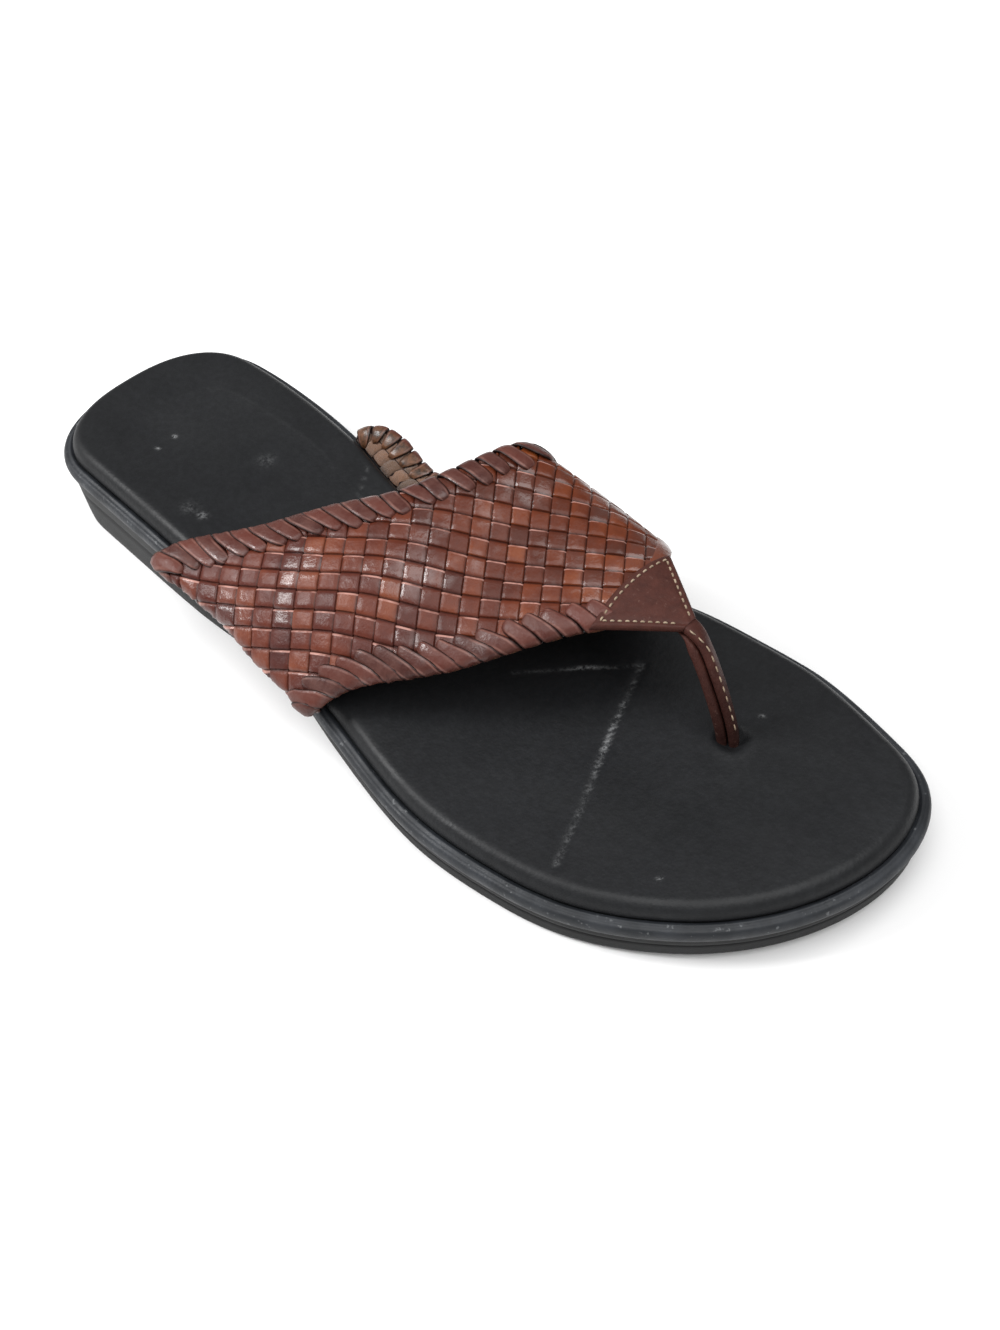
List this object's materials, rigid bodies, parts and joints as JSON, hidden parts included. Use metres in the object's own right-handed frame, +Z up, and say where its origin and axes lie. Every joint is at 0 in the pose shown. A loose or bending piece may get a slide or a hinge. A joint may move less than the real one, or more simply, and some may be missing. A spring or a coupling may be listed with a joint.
{
  "type": "toe post sandal",
  "caption": "Flat toe post sandal for the right foot: a woven leather band over the instep, a toe strap with a stitched patch, a padded footbed and a rubber sole with a low heel.",
  "frame": {"origin": "middle of the object's box, on the floor that the sole stands on", "axes": "+X from heel to toe, +Y to the inner side of the right foot, +Z up"},
  "size_m": [0.26, 0.1006, 0.0539],
  "materials": {
    "outsole": "matte black moulded rubber",
    "midsole": "satin dark grey layer with a rounded edge",
    "footbed": "smooth charcoal leather, semi-gloss, creased and scuffed",
    "upper": "glossy chestnut leather strips, plain weave, tan flesh side inside",
    "toe_strap": "smooth brown leather with cream stitches"
  },
  "bodies": {
    "root": {"outsole": "outsole", "midsole": "midsole", "footbed": "footbed", "upper": "upper", "toe_strap": "toe_strap"}
  },
  "joints": []
}
